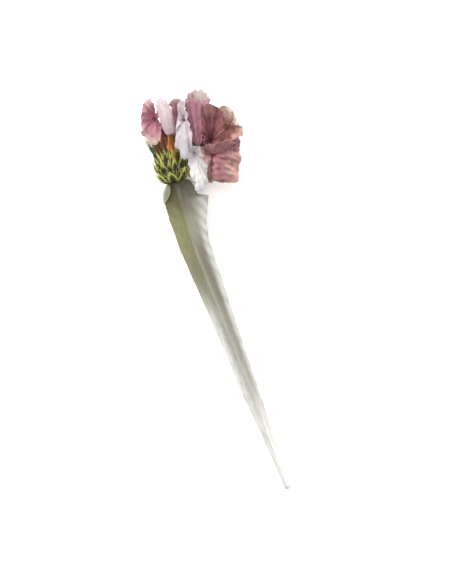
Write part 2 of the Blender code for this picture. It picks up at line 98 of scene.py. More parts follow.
def bezier(p0, p1, p2, p3, t):
    s = 1 - t
    return s**3 * p0 + 3 * s**2 * t * p1 + 3 * s * t**2 * p2 + t**3 * p3


def smooth_step(value, low, high):
    t = np.clip((value - low) / (high - low), 0, 1)
    return t * t * (3 - 2 * t)


def waves(points, seed, size, count=6):
    """Smooth noise about 0 for each point, the same on every run."""
    chance = np.random.default_rng(seed)
    total = np.zeros(points.shape[:-1])
    for _ in range(count):
        way = chance.normal(size=3) * (WAVE_RATE / size)
        total += np.sin(points @ way + chance.uniform(0, LATE))
    return total / count**0.5


def creases(points, seed, size, count=5):
    """Noise with sharp valleys, as in crumpled paper."""
    chance = np.random.default_rng(seed)
    total = np.zeros(points.shape[:-1])
    for _ in range(count):
        way = chance.normal(size=3) * (WAVE_RATE / size)
        bend = np.sin(points @ (chance.normal(size=3) * 0.9 / size) + chance.uniform(0, LATE))
        total += np.abs(np.sin(points @ way + 1.2 * bend + chance.uniform(0, LATE))) - MEAN_SWING
    return total / count**0.5


# ---- making pieces

MERGE = 1e-5


def lay(points, closed, marks=None):
    """A grid with UVs, laid on rows of points and joined side to side where it's closed.

    Marks are arrays of one number for each point, by name, and become attributes that materials read.
    """
    rows, columns = points.shape[:2]
    across = columns if closed else columns - 1
    marks = marks or {}
    bm = bmesh.new()
    bm.loops.layers.uv.new("UVMap")
    bmesh.ops.create_grid(bm, x_segments=across, y_segments=rows - 1, size=1.0, calc_uvs=True)
    layers = {name: bm.verts.layers.float.new(name) for name in marks}
    for vert in bm.verts:
        i = round((vert.co.x + 1) / 2 * across) % columns
        j = round((vert.co.y + 1) / 2 * (rows - 1))
        vert.co = points[j, i]
        for name, layer in layers.items():
            vert[layer] = float(marks[name][j, i])
    if closed:
        bmesh.ops.remove_doubles(bm, verts=bm.verts, dist=MERGE)
    return bm


def finish_piece(name, bm, nodes, material, wall=None, smooth=True):
    """Makes a piece of the bmesh, with a wall where it's a sheet, that stands for the CAD nodes."""
    bmesh.ops.scale(bm, vec=(MM, MM, MM), verts=bm.verts)
    mesh = bpy.data.meshes.new(name)
    bm.to_mesh(mesh)
    bm.free()
    if smooth:
        mesh.shade_smooth()
    mesh.materials.append(material)
    piece = bpy.data.objects.new(name, mesh)
    bpy.context.scene.collection.objects.link(piece)
    if wall:
        solid = piece.modifiers.new("wall", "SOLIDIFY")
        solid.thickness = wall * MM
        solid.offset = 0.0
    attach(piece, "root")
    if nodes:
        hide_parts(*nodes)
    return piece


# ---- materials


def srgb(*values):
    """A material's colour from red, green and blue as a screen shows them, from 0 to 255."""
    shares = [value / 255 for value in values]
    return tuple(share / 12.92 if share <= 0.04045 else ((share + 0.055) / 1.055) ** 2.4 for share in shares)


class Nodes:
    """Builds a material's node tree."""

    def __init__(self, name):
        self.material = bpy.data.materials.new(name)
        self.material.use_nodes = True
        self.tree = self.material.node_tree
        self.shader = self.tree.nodes["Principled BSDF"]
        self.output = self.tree.nodes["Material Output"]

    def add(self, kind, sockets=None, **values):
        node = self.tree.nodes.new(kind)
        for key, value in values.items():
            setattr(node, key, value)
        for key, value in (sockets or {}).items():
            node.inputs[key].default_value = value
        return node

    def link(self, source, target):
        self.tree.links.new(source, target)

    def math(self, operation, a, b=None, c=None, clamp=False):
        node = self.add("ShaderNodeMath", operation=operation, use_clamp=clamp)
        for socket, value in zip(node.inputs, (a, b, c)):
            if value is None:
                continue
            if isinstance(value, (int, float)):
                socket.default_value = value
            else:
                self.link(value, socket)
        return node.outputs[0]

    def plus(self, a, b, clamp=False):
        return self.math("ADD", a, b, clamp=clamp)

    def times(self, a, b):
        return self.math("MULTIPLY", a, b)

    def swing(self, value, amount):
        """How far the value is from a half, times the amount."""
        return self.times(self.math("SUBTRACT", value, 0.5), amount)

    def mix(self, share, a, b, blend="MIX"):
        node = self.add("ShaderNodeMix", data_type="RGBA", blend_type=blend)
        for socket, value in zip((node.inputs[0], node.inputs[6], node.inputs[7]), (share, a, b)):
            if isinstance(value, (int, float)):
                socket.default_value = value
            elif isinstance(value, tuple):
                socket.default_value = (*value, 1.0)
            else:
                self.link(value, socket)
        return node.outputs[2]

    def ramp(self, source, stops):
        """A ramp of colours or of greys between its stops, each a place and a colour or a number."""
        node = self.add("ShaderNodeValToRGB")
        elements = node.color_ramp.elements
        while len(elements) < len(stops):
            elements.new(0.5)
        for element, (place, colour) in zip(elements, stops):
            element.position = place
            element.color = (*colour, 1.0) if isinstance(colour, tuple) else (colour, colour, colour, 1.0)
        self.link(source, node.inputs[0])
        return node.outputs[0]

    def noise(self, vector, scale, detail=3.0, roughness=0.55, distortion=0.0):
        sockets = {"Scale": scale, "Detail": detail, "Roughness": roughness, "Distortion": distortion}
        node = self.add("ShaderNodeTexNoise", sockets)
        self.link(vector, node.inputs["Vector"])
        return node.outputs["Fac"]

    def stretched(self, vector, scale):
        node = self.add("ShaderNodeMapping", {"Scale": scale})
        self.link(vector, node.inputs["Vector"])
        return node.outputs[0]

    def parts(self, vector):
        """The three numbers of a vector."""
        node = self.add("ShaderNodeSeparateXYZ")
        self.link(vector, node.inputs[0])
        return node.outputs

    def attribute(self, name):
        return self.add("ShaderNodeAttribute", attribute_name=name).outputs["Fac"]

    def coordinates(self, kind):
        return self.add("ShaderNodeTexCoord").outputs[kind]

    def bump(self, height, strength, distance):
        node = self.add("ShaderNodeBump", {"Strength": strength, "Distance": distance})
        self.link(height, node.inputs["Height"])
        return node.outputs[0]

    def finish(self, colour, sockets, normal=None):
        """Gives the shader its colour, the values of its sockets and its bumps."""
        self.link(colour, self.shader.inputs["Base Color"])
        for key, value in sockets.items():
            self.shader.inputs[key].default_value = value
        if normal:
            self.link(normal, self.shader.inputs["Normal"])
        return self.material

    def shine_through(self, colour, share, normal=None):
        """Lets that share of the light through, in this colour, as thin dry paper does."""
        through = self.add("ShaderNodeBsdfTranslucent")
        self.link(colour, through.inputs["Color"])
        if normal:
            self.link(normal, through.inputs["Normal"])
        both = self.add("ShaderNodeMixShader", {0: share})
        self.link(self.shader.outputs[0], both.inputs[1])
        self.link(through.outputs[0], both.inputs[2])
        self.link(both.outputs[0], self.output.inputs["Surface"])


def petal_paper(name, deep, middle, pale, veins, glow):
    """Dry calyx paper: deep in the throat and pale towards the lip, with fine ribs along it.

    The mesh's marks say how pale it is (tint), how far from the throat (depth), and where it's folded (fold).
    Towards the throat it's painted in its deep colour: painted shade where that colour is darker, and painted
    light that lifts the throat's shadow where it is lighter. The valleys of the folds get painted shade.
    """
    n = Nodes(name)
    uv = n.coordinates("UV")
    place = n.coordinates("Object")
    patches = n.noise(place, 420.0, 3.0, 0.6)
    blotches = n.noise(place, 1500.0, 2.0, 0.6)
    ribs = n.noise(n.stretched(uv, (150.0, 5.0, 1.0)), 1.0, 2.0, 0.7, 0.3)
    share = n.plus(n.attribute("tint"), n.swing(patches, 0.55))
    share = n.plus(share, n.swing(blotches, 0.22), clamp=True)
    colour = n.ramp(share, [(0.0, deep), (0.5, middle), (1.0, pale)])
    streak = n.ramp(ribs, [(0.36, 1.0), (0.47, 0.0)])
    colour = n.mix(n.times(streak, 0.3), colour, veins)
    # Painted shade towards the throat, or painted light where the deep colour is the lighter one.
    throat = n.ramp(n.attribute("depth"), [(0.15, 1.0), (0.5, 0.0)])
    # Painted shade in the valleys of the folds, in the veins' colour.
    valley_shade = n.ramp(n.attribute("fold"), [(0.0, 0.22), (0.3, 0.0)])
    crease_shade = n.times(valley_shade, n.math("SUBTRACT", 1.0, throat))
    colour = n.mix(crease_shade, colour, veins, "MULTIPLY")
    colour = n.mix(n.times(throat, 0.4), colour, deep)
    grain = n.noise(n.stretched(uv, (260.0, 60.0, 1.0)), 1.0, 3.0, 0.65)
    normal = n.bump(n.plus(n.times(ribs, 0.7), n.times(grain, 0.5)), 0.35, 0.12 * MM)
    n.shine_through(n.mix(0.5, colour, glow), 0.3, normal)
    sockets = {"Roughness": 0.62, "Specular IOR Level": 0.28, "Sheen Weight": 0.12, "Sheen Roughness": 0.4}
    return n.finish(colour, sockets, normal)


def leaf_paper(name, core, flesh, margin, tip, body):
    """A dried bract: a dark core round its keel, leafy flesh to each side, and thin bright margins and point.

    The flesh reaches to body, as a share of the way from the keel to the margin.
    """
    n = Nodes(name)
    uv = n.coordinates("UV")
    side, along, _ = n.parts(uv)
    across = n.math("ABSOLUTE", n.math("MULTIPLY_ADD", side, 2.0, -1.0))
    patches = n.noise(n.coordinates("Object"), 900.0, 4.0, 0.65)
    wobble = n.swing(patches, 0.7)
    fibres = n.noise(n.stretched(uv, (30.0, 2.5, 1.0)), 1.0, 3.0, 0.7, 0.4)
    spread = n.plus(n.plus(across, n.times(wobble, 0.6)), n.swing(along, 0.5))
    colour = n.ramp(spread, [(0.1, core), (body, flesh), (body + 0.1, flesh), (body + 0.24, margin)])
    colour = n.mix(n.ramp(fibres, [(0.4, 0.6), (0.56, 0.0)]), colour, core)
    height = n.plus(along, wobble)
    colour = n.mix(n.ramp(height, [(0.7, 0.0), (0.95, 1.0)]), colour, tip)
    # Painted shade towards the leaf's foot, where the leaves crowd.
    colour = n.mix(n.ramp(height, [(0.05, 0.85), (0.35, 0.0)]), colour, core)
    n.shine_through(colour, 0.18)
    normal = n.bump(n.plus(fibres, patches), 0.5, 0.15 * MM)
    return n.finish(colour, {"Roughness": 0.6, "Specular IOR Level": 0.35}, normal)


SKIN_LENGTH = 67.8  # of the stem, from its cut end to its last tone
# The tones of the stem from its cut end upwards, each with its height as a share of SKIN_LENGTH.
SKIN_TONES = [
    (0.0, 212, 212, 210), (0.15, 202, 202, 200), (0.3, 176, 176, 173), (0.42, 158, 158, 153),
    (0.52, 146, 146, 141), (0.6, 146, 147, 138), (0.66, 124, 125, 108), (0.74, 114, 112, 90),
    (0.88, 120, 119, 84), (0.95, 92, 90, 60), (1.0, 76, 74, 46),
]


def stem_cracks(n, place):
    """Fine cracks between small cells: 1 in a crack, and 0 elsewhere."""
    jog = n.add("ShaderNodeTexNoise", {"Scale": 900.0})
    n.link(place, jog.inputs["Vector"])
    warped = n.add("ShaderNodeVectorMath", operation="ADD")
    n.link(n.stretched(place, (1100.0, 700.0, 1100.0)), warped.inputs[0])
    n.link(jog.outputs["Color"], warped.inputs[1])
    cells = n.add("ShaderNodeTexVoronoi", {"Scale": 1.0}, feature="DISTANCE_TO_EDGE")
    n.link(warped.outputs[0], cells.inputs["Vector"])
    return n.ramp(cells.outputs["Distance"], [(0.01, 1.0), (0.06, 0.0)])


def stem_skin():
    """Dried stem: olive near the head, greyer and paler to the cut end, with dark fibres and fine cracks.

    The mesh's marks say where it's paler (pale), where it has painted shade (shade), where the right wing
    takes a dull grey that is painted shade (wing), and how far to the right (across).
    """
    n = Nodes("dried_stem_skin")
    place = n.coordinates("Object")
    high = n.math("MULTIPLY_ADD", n.parts(place)[1], 1 / (SKIN_LENGTH * MM), -STEM_FOOT[1] / SKIN_LENGTH)
    patches = n.noise(n.stretched(place, (1.0, 0.3, 1.0)), 300.0, 4.0, 0.6)
    wobble = n.swing(patches, 0.16)
    colour = n.ramp(n.plus(high, wobble), [(share, srgb(*tone)) for share, *tone in SKIN_TONES])
    # Painted shade: the right wing, which lies in shade, turns a dull grey.
    colour = n.mix(n.times(n.attribute("wing"), 0.9), colour, srgb(132, 131, 123))
    shade = n.times(n.attribute("shade"), n.ramp(patches, [(0.2, 0.7), (0.6, 1.0)]))
    colour = n.mix(shade, colour, srgb(90, 87, 77))
    # Painted shade at the stem's top, under and beside the cup.
    colour = n.mix(n.ramp(high, [(0.95, 0.0), (1.0, 0.55)]), colour, srgb(62, 58, 42))
    edge = n.plus(n.attribute("pale"), n.times(wobble, 0.6))
    paled = n.ramp(high, [(0.52, srgb(192, 192, 189)), (0.74, srgb(166, 167, 162))])
    colour = n.mix(n.ramp(edge, [(0.1, 0.0), (0.95, 0.95)]), colour, paled)
    fibres = n.noise(n.stretched(place, (2600.0, 60.0, 2600.0)), 1.0, 3.0, 0.7)
    colour = n.mix(n.ramp(fibres, [(0.36, 0.3), (0.54, 0.0)]), colour, srgb(100, 97, 78))
    near_head = n.ramp(high, [(0.5, 0.0), (0.75, 1.0)])
    left = n.ramp(n.attribute("across"), [(0.3, 1.0), (0.6, 0.25)])
    crack = n.times(n.times(stem_cracks(n, place), near_head), left)
    colour = n.mix(n.times(crack, 0.3), colour, srgb(80, 78, 44))
    height = n.math("SUBTRACT", n.times(fibres, 0.6), n.times(crack, 0.4))
    normal = n.bump(height, 0.5, 0.1 * MM)
    return n.finish(colour, {"Roughness": 0.72, "Specular IOR Level": 0.3}, normal)


def hair_straw():
    n = Nodes("bract_hair_straw")
    patches = n.noise(n.coordinates("Object"), 1100.0, 2.0)
    tones = [(0.3, srgb(124, 122, 50)), (0.5, srgb(184, 184, 92)), (0.68, srgb(226, 224, 160))]
    return n.finish(n.ramp(patches, tones), {"Roughness": 0.6})


# ---- calyces

# Each calyx by number, in the drawing. Its tube leaves the seat along out and reaches the throat along face.
# Its rim is the lip of the limb: x, y, z, the degrees that the paper has turned away from face there, and how
# pale it is, which with_tints adds where it's left out. How pale is partly the paper's own tone and partly
# painted light and shade: low tints paint the shade in calyx 6's bowl, and the full tints on calyx 7's right
# lip paint light shining through it, over the lip's own paler tone.
CALYCES = {
    1: dict(
        seat=(-1.3, 74.2, 8.4), out=(0.03, 0.99, 0.1), throat=(-0.3, 82.5, 10.8), face=(-0.12, 0.41, 0.9),
        end=0.35, edge=3.0,
        rim=[
            (-2.8, 77.7, 12.4, 160, 1), (-1.4, 77.8, 12.8, 150, 0.95), (-0.4, 79.4, 13.2, 85, 0.5),
            (0, 82.4, 14, 40, 0.2), (0.1, 85.6, 14.7, 50, 0.35), (0.2, 86.8, 15.8, 70, 0.8),
            (-1.7, 86.6, 15.3, 80, 0.7), (-3, 84.7, 14.6, 85, 0.55), (-3.8, 82.1, 13.6, 95, 0.6),
            (-3.9, 79.5, 12.6, 140, 0.9)],
    ),
    2: dict(
        seat=(-0.1, 74.4, 8.6), out=(0.27, 0.96, 0.02), throat=(1.4, 79, 11.8), face=(0.08, 0.9, 0.43),
        start=0.0, end=0.62, bulb=1.7, pleat=0.2, ruffle=0.2,
        rim=[
            (1.9, 86, 17, 0, 0.95), (2.8, 85, 16.6, 0, 0.8), (3.1, 83.6, 15.2, 5, 0.7),
            (3.2, 84.2, 13.2, 10, 0.6), (3, 86.1, 11.8, 25, 0.4), (2.2, 87.3, 11.2, 25, 0.5),
            (1.3, 87, 12.2, 25, 0.5), (0.8, 85.9, 14, 10, 0.6), (1, 85.5, 16.2, 0, 0.6)],
    ),
    3: dict(
        seat=(3.8, 76.8, 9.3), out=(0.1, 0.28, 0.95), throat=(5.1, 80.5, 13.6), face=(0.06, 0.03, 1),
        start=0.45, pleat=0.22,
        rim=[
            (2.1, 73, 12.8, 165, 0.95), (3.6, 73.3, 13.8, 150, 0.6), (5, 75.3, 15.4, 120, 0.35),
            (5.7, 78, 16.4, 90, 0.3), (5.9, 80.9, 16.8, 60, 0.35), (6.2, 83, 17, 50, 0.3),
            (5.9, 84.2, 17, 50, 0.35), (4.8, 83.7, 16.4, 60, 0.2), (3.9, 81.3, 15.6, 80, 0.6),
            (2.8, 79, 14.8, 120, 0.95), (1.9, 77, 13.8, 140, 1), (1.7, 74.9, 13.1, 155, 1)],
    ),
    4: dict(
        seat=(3.3, 77.7, 8.3), out=(0.33, 0.94, 0.1), throat=(3.6, 80.6, 8.9), face=(0.27, 0.93, 0.25),
        start=0.2,
        rim=[
            (3.4, 85.2, 10.6, 40, 0.6), (3.9, 85.5, 12.6, 30, 0.7), (5, 85.3, 14, 15, 0.75),
            (5.8, 84.9, 14, 15, 0.75), (6.2, 84.4, 12.2, 30, 0.7), (6.4, 84.7, 9.8, 40, 0.4),
            (6.1, 85.4, 8, 40, 0.4), (5.5, 86.2, 7, 40, 0.4), (4.2, 86.1, 8.2, 40, 0.4)],
    ),
    5: dict(
        seat=(6, 76.8, 8.9), out=(0.03, 0.09, 0.99), throat=(6.2, 75, 12.2), face=(0.19, 0.9, 0.4),
        start=0.02, end=0.5, bulb=1.3, pleat=0.42, crumple=0.2,
        rim=[
            (6.7, 84, 16.2, 5, 0.5), (7.8, 83.9, 17.6, 0, 0.5), (9, 83.4, 18, 0, 0.45),
            (9.9, 82.5, 17.4, 5, 0.5), (11, 82.8, 15.4, 20, 0.7), (11.6, 84.4, 13.2, 35, 0.95),
            (10.6, 85.9, 12, 40, 1), (9, 86.3, 11.8, 40, 0.9), (7.5, 85.7, 12.6, 35, 0.6),
            (6.6, 84.6, 14.6, 20, 0.45)],
    ),
    6: dict(
        seat=(7.5, 75.1, 9.1), out=(0.2, 0.26, 0.94), throat=(8.8, 74.6, 11.2), face=(0.1, 0.18, 0.98),
        start=0.35, end=0.3, pleat=0.2, crumple=0.3,
        # Low tints: painted shade in this calyx's bowl.
        rim=[
            (9.6, 81.7, 17.4, 50, 0.6), (10.9, 81.6, 18, 40, 0.7), (12, 80.9, 18, 40, 0.6),
            (12.6, 79.5, 17.8, 20, 0.4), (12.3, 77.3, 17.4, 20, 0.25), (11.5, 75.3, 16.8, 20, 0.2),
            (10.2, 73.9, 15.4, 20, 0.2), (8.6, 73.3, 14.6, 20, 0.2), (7.5, 73.8, 14.6, 20, 0.25),
            (7.4, 75.5, 15.6, 20, 0.3), (8, 77.8, 16.8, 30, 0.3), (8.9, 80.2, 17.2, 40, 0.4)],
    ),
    7: dict(
        seat=(8.3, 74.9, 8.4), out=(0.83, 0.4, 0.39), throat=(12.8, 75.9, 10.6), face=(0.37, 0.14, 0.92),
        start=0.35, end=0.3, pleat=0.24, crumple=0.3, edge=1.3,
        # The full tints on the right of the lip are painted light shining through it, over its own paler
        # tone.
        rim=[
            (12.7, 80.5, 15, 50, 0.85), (14.1, 80.1, 16.4, 70, 1), (15.2, 78.6, 15.9, 80, 1),
            (15.5, 76.2, 15.1, 85, 1), (15.6, 73.6, 13.8, 95, 0.6), (14.7, 73.3, 13.8, 85, 0.35),
            (13.5, 73.4, 14.4, 60, 0.25), (12, 72.9, 14, 30, 0.2), (10, 73.8, 12.8, 30, 0.2),
            (11.3, 77.3, 13, 30, 0.25)],
    ),
    8: dict(
        seat=(7.9, 73, 9.2), out=(0.01, -0.11, 0.99), throat=(8.2, 71.9, 11.9), face=(0.11, -0.14, 0.98),
        pleat=0.32, crumple=0.42, folds=6,
        rim=[
            (8, 73.4, 16.2, 20, 0.3), (10, 73.4, 17.2, 20, 0.3), (11.6, 73, 17.2, 30, 0.3),
            (13.1, 73, 16.4, 50, 0.45), (13.8, 71.6, 15, 80, 0.55), (13.4, 69.2, 14.2, 100, 0.75),
            (12.6, 66.9, 13.4, 115, 0.9), (10.9, 65, 12.7, 120, 0.95), (9.2, 65, 12.4, 120, 0.8),
            (7.7, 66.3, 12.9, 115, 0.5), (6.6, 67.6, 12, 90, 0.35), (6.4, 69.5, 13.6, 90, 0.7),
            (6.1, 71.9, 15, 80, 0.85), (6.2, 73.9, 15.3, 60, 0.8)],
    ),
    9: dict(
        seat=(9, 73, 8.2), out=(1, 0, 0.05), throat=(11, 73, 8.4), face=(0.99, 0.05, 0.1),
        rim=[
            (13.8, 72.9, 11, 40), (13.2, 71.5, 10.3, 50), (13.1, 70.1, 9.3, 80), (13.7, 70.6, 7.8, 50),
            (14.1, 71.7, 6.8, 30), (13.2, 73.1, 6.9, 10), (13.6, 74, 7.6, 10), (13.8, 74.5, 8.1, 15),
            (13.3, 75.2, 9.3, 40), (12.8, 74.6, 10.7, 70)],
    ),
    10: dict(
        seat=(4.6, 75.6, 9), out=(-0.1, -0.3, 0.95), throat=(4.8, 73.8, 11.2), face=(-0.07, -0.35, 0.94),
        start=0.35, pleat=0.14, crumple=0.12,
        rim=[
            (4.3, 74.8, 13.6, 60, 0.5), (5.6, 74.5, 13.4, 50, 0.4), (6.6, 73.5, 13.2, 60, 0.5),
            (6.6, 72.1, 12.9, 80, 0.6), (6.4, 69.9, 11.8, 110, 0.85), (5.7, 67.5, 11.2, 120, 1),
            (4.5, 65.9, 10.9, 130, 1), (3.4, 65.4, 10.8, 130, 1), (2.8, 66.6, 11, 125, 1),
            (2.6, 68.8, 11.6, 120, 1), (2.7, 71.3, 12.2, 110, 1), (3.4, 73.7, 12.8, 90, 0.9)],
    ),
    11: dict(
        seat=(0.7, 76.7, 7), out=(-0.58, 0.58, -0.58), throat=(-1.2, 79.4, 4.8), face=(-0.16, 0.88, -0.44),
        rim=[
            (-2.2, 83.7, 5.8, 35), (-0.8, 83.1, 5.1, 25), (0, 82.7, 3.9, 0), (0.4, 82.1, 2.8, 5),
            (-0.1, 82, 1.6, 25), (-1.4, 80.8, 1.2, 25), (-3.3, 80.7, 1.2, 45), (-3.9, 81.3, 2.8, 30),
            (-4.4, 82.1, 4.1, 35), (-3.8, 82.5, 5.8, 65)],
    ),
    12: dict(
        seat=(2, 77.3, 7.2), out=(0.1, 0.87, -0.48), throat=(2.4, 79.9, 5.9), face=(0.2, 0.88, -0.42),
        rim=[
            (3.3, 84.5, 6.1, 10), (4.8, 84.5, 5.8, 10), (4.6, 83.7, 4.3, 15), (4.1, 83.3, 3.8, 0),
            (3.8, 83.3, 3.3, 5), (2.9, 83.6, 1.5, 25), (1.2, 83.2, 2.1, 25), (0.8, 83.9, 3.4, 20),
            (0.4, 85.6, 4.6, 35), (1.6, 85.6, 6.1, 35)],
    ),
    13: dict(
        seat=(4.1, 77.3, 7.4), out=(0.2, 0.59, -0.78), throat=(4.8, 79.3, 5), face=(0.3, 0.72, -0.62),
        rim=[
            (6.4, 83.7, 5.2, 55), (7.9, 82.5, 4.4, 30), (7.7, 81.8, 3.2, 15), (7.4, 80.8, 2.4, -5),
            (7, 80, 0.7, -20), (5.4, 80.4, 0.6, -25), (3.6, 81.6, 0.8, 30), (3.7, 82.5, 2.5, 15),
            (4.4, 83.1, 3.1, 10), (4.9, 83.1, 4, 10)],
    ),
    14: dict(
        seat=(6.6, 76.3, 7.4), out=(0.4, 0.6, -0.7), throat=(8, 78.3, 5.3), face=(0.51, 0.63, -0.59),
        rim=[
            (11.5, 83, 5, 20), (12, 80.8, 5.3, 40), (12.8, 78.9, 4.2, 60), (12.4, 78.5, 1.9, 40),
            (11.1, 78.7, 0.5, 20), (8.6, 78.8, 0.4, 30), (8.3, 80.9, 1, 20), (8.5, 81.8, 2.4, 15),
            (8.6, 82.2, 3.5, 15), (9, 83.3, 5.3, 35)],
    ),
    15: dict(
        seat=(8.7, 73.7, 7.6), out=(0.83, 0.09, -0.55), throat=(11, 73.9, 6), face=(0.8, 0, -0.6),
        rim=[
            (14.8, 73.9, 6.1, 15), (15, 72.9, 5, 15), (14.2, 72.1, 4.5, 15), (12.7, 70.9, 3.2, 70),
            (12.4, 72.3, 1.9, 40), (12.4, 73.9, 1.3, 25), (11.7, 76.1, 2.2, 60), (13.1, 77.1, 3.2, 45),
            (14.6, 76.9, 4.3, 35), (15.3, 75.8, 6.3, 60)],
    ),
    16: dict(
        seat=(6.9, 73.9, 7.3), out=(-0.11, -0.65, -0.76), throat=(7, 72, 5.2), face=(0.3, -0.71, -0.63),
        rim=[
            (8.8, 68, 5.1, 20), (7.3, 67.3, 4.9, 20), (6.1, 67.4, 3.4, 30), (4.7, 68.2, 1.6, 50),
            (5.2, 70.5, 0.9, 65), (7.6, 70.4, 0.4, -5), (9.3, 71.2, 0.6, 30), (10.3, 71, 2.1, 25),
            (10.7, 70, 3.6, 25), (10.9, 67.8, 4.4, 30)],
    ),
    17: dict(
        seat=(4.3, 75.9, 7.4), out=(-0.1, -0.63, -0.77), throat=(4, 74.2, 5.4), face=(-0.15, -0.68, -0.72),
        rim=[
            (2.7, 69.3, 4.9, 45), (1.3, 70.7, 4.7, 45), (-0.1, 72.2, 3.6, 55), (0.4, 73.4, 2.1, 35),
            (1.4, 74, 0.5, 25), (3.4, 74.5, 0.5, 40), (5.5, 73.7, 0.8, 50), (5, 71.9, 2.6, -10),
            (4.6, 71.2, 3, -10), (4.4, 70.6, 4, -5)],
    ),
    18: dict(
        seat=(8.2, 72.2, 8.2), out=(0.1, -0.99, 0), throat=(8.3, 70.2, 8.3), face=(0, -0.99, 0.1),
        rim=[
            (8.4, 68.4, 11.3, 60), (6.9, 66.9, 11.1, 40), (5.8, 67, 9.5, 45), (4.8, 67.3, 7.1, 80),
            (6.7, 67, 6, 55), (8.3, 66, 5.4, 40), (10.3, 67.3, 5.8, 75), (11.8, 66.7, 7.6, 60),
            (11.1, 66.6, 9.6, 35), (10.3, 67.5, 11.5, 70)],
    ),
}

CALYX_COLUMNS = 130
CALYX_WALL = 0.11
PLEATS = 10

TUBE_FOOT, TUBE_THROAT = 0.34, 0.26  # half widths of the tube at its two ends
TUBE_START, TUBE_END = 0.45, 0.4  # how far it keeps its first and last ways, as shares of its span
TUBE_ROWS, TUBE_RIBS = 9, 5

LIMB_ROWS = 40
NOTCH = 0.07  # depth of the notches in the lip, as a share of the limb's length
BIG_CRUMPLES, SMALL_CRUMPLES = 2.4, 0.9  # about how many millimetres across
CRUMPLE_SEEDS, TEETH_SEEDS = (10, 20), (50, 60)  # added to the calyx's number


def calyx_tube(seat, out, throat, face, radial, turn):
    """Rows of points round the bent tube of a calyx, from its foot to just under its throat."""
    span = np.linalg.norm(throat - seat)
    steps = np.linspace(0, 1, TUBE_ROWS + 1)[:-1, None]
    leaving, arriving = seat + out * TUBE_START * span, throat - face * TUBE_END * span
    line = bezier(seat, leaving, arriving, throat, steps)
    ahead = unit(np.gradient(np.vstack([line, throat]), axis=0)[:-1])
    wide = TUBE_FOOT + (TUBE_THROAT - TUBE_FOOT) * steps
    ribs = 1 + 0.06 * np.cos(TUBE_RIBS * turn)
    around = radial[None] - (ahead @ radial.T)[..., None] * ahead[:, None]
    return line[:, None] + unit(around) * (wide * ribs)[..., None]


def with_tints(number, rim):
    """The rim with how pale it is at each point, which follows a wave where the rim doesn't say."""
    tints = [round(20 * (0.55 + 0.15 * math.sin(number + 4 * i))) / 20 for i in range(len(rim))]
    return [row if len(row) == 5 else (*row, tint) for row, tint in zip(rim, tints)]


def ragged_length(lip, number, folds, turn, phase):
    """How much of the limb each column keeps: the lip dips between the folds and is torn a little."""
    scallop = 0.5 - 0.5 * np.cos(folds * turn + 0.9 * np.sin(2 * turn + phase))
    big, small = (number + seed for seed in TEETH_SEEDS)
    teeth = np.abs(waves(lip, big, 0.5)) * 0.35 + np.abs(waves(lip, small, 0.22)) * 0.25
    return 1 - NOTCH * (0.55 * scallop**2 + 0.6 * teeth)


def fold_paper(limb, number, folds, turn, phase, pleat, crumple, ruffle):
    """Pushes the limb along its own normal, into pleats, crumples and a wavy lip.

    Also returns the height of the pleats in each column, from -1 to 1.
    """
    share = np.linspace(0, 1, LIMB_ROWS)[:, None]
    sway = 0.8 * np.sin(2 * turn + phase[0]) + 0.35 * np.sin(5 * turn + phase[1])
    fold = np.arcsin(0.93 * np.cos(folds * turn + sway)) / 1.2
    fine = np.arcsin(0.9 * np.cos(3 * folds * turn + 2 * sway + phase[2])) / 1.2
    lift = pleat * share * (1.1 - 0.45 * share) * fold + 0.16 * pleat * share * fine
    near = np.minimum(share * 3.0, 1)
    big, small = (number + seed for seed in CRUMPLE_SEEDS)
    lift = lift + crumple * near * creases(limb, big, BIG_CRUMPLES)
    lift = lift + 0.6 * crumple * near * creases(limb, small, SMALL_CRUMPLES)
    lift = lift + ruffle * share**4 * (np.sin(7 * turn + phase[3]) + 0.6 * np.sin(13 * turn + phase[4]))
    sideways = np.roll(limb, -1, axis=1) - np.roll(limb, 1, axis=1)
    normal = unit(np.cross(sideways, np.gradient(limb, axis=0)))
    return limb + normal * lift[..., None], fold


def calyx_surface(number, seat, out, throat, face, rim, start=0.4, end=0.4, pleat=0.3, crumple=0.14,
                  ruffle=0.3, folds=PLEATS, bulb=0.0, edge=1.0):
    """Middle surface of a papery calyx, as rows of points from its foot to its ragged lip, and its marks."""
    seat, throat = np.array(seat) + STEM_FOOT, np.array(throat) + STEM_FOOT
    out, face = unit(np.array(out)), unit(np.array(face))
    ring = closed_curve(with_tints(number, rim), CALYX_COLUMNS)
    lip, angle, tint = ring[:, :3] + STEM_FOOT, np.radians(ring[:, 3])[:, None], ring[:, 4]
    turn = np.arange(CALYX_COLUMNS) / CALYX_COLUMNS * 2 * math.pi
    phase = np.random.default_rng(number).uniform(0, LATE, 6)
    away = lip - throat
    radial = unit(away - (away @ face)[:, None] * face)
    reach = np.linalg.norm(away, axis=1)[:, None]
    # The limb, rolled out from the throat to the lip.
    foot = throat + radial * TUBE_THROAT
    rise = foot + face * start * reach + radial * bulb
    settle = lip - (np.cos(angle) * face + np.sin(angle) * radial) * end * reach
    share = np.linspace(0, 1, LIMB_ROWS)[:, None]
    kept = share * ragged_length(lip, number, folds, turn, phase[0])
    limb = bezier(foot, rise, settle, lip, kept[..., None])
    limb, fold = fold_paper(limb, number, folds, turn, phase, pleat, crumple, ruffle)
    tube = calyx_tube(seat, out, throat, face, radial, turn)
    none = np.zeros(tube.shape[:2])
    marks = {
        "tint": np.concatenate([none, tint * np.clip(share * 1.15, 0, 1) ** edge]),
        "depth": np.concatenate([none, share * np.ones_like(turn)]),
        "fold": np.concatenate([none + 0.5, (0.5 + 0.5 * fold) * np.ones_like(share)]),
    }
    return np.concatenate([tube, limb]), marks


def make_calyx(number, material):
    points, marks = calyx_surface(number, **CALYCES[number])
    name = f"calyx_{number}"
    return finish_piece(f"paper_{name}", lay(points, True, marks), [name], material, CALYX_WALL)


# ---- bracts

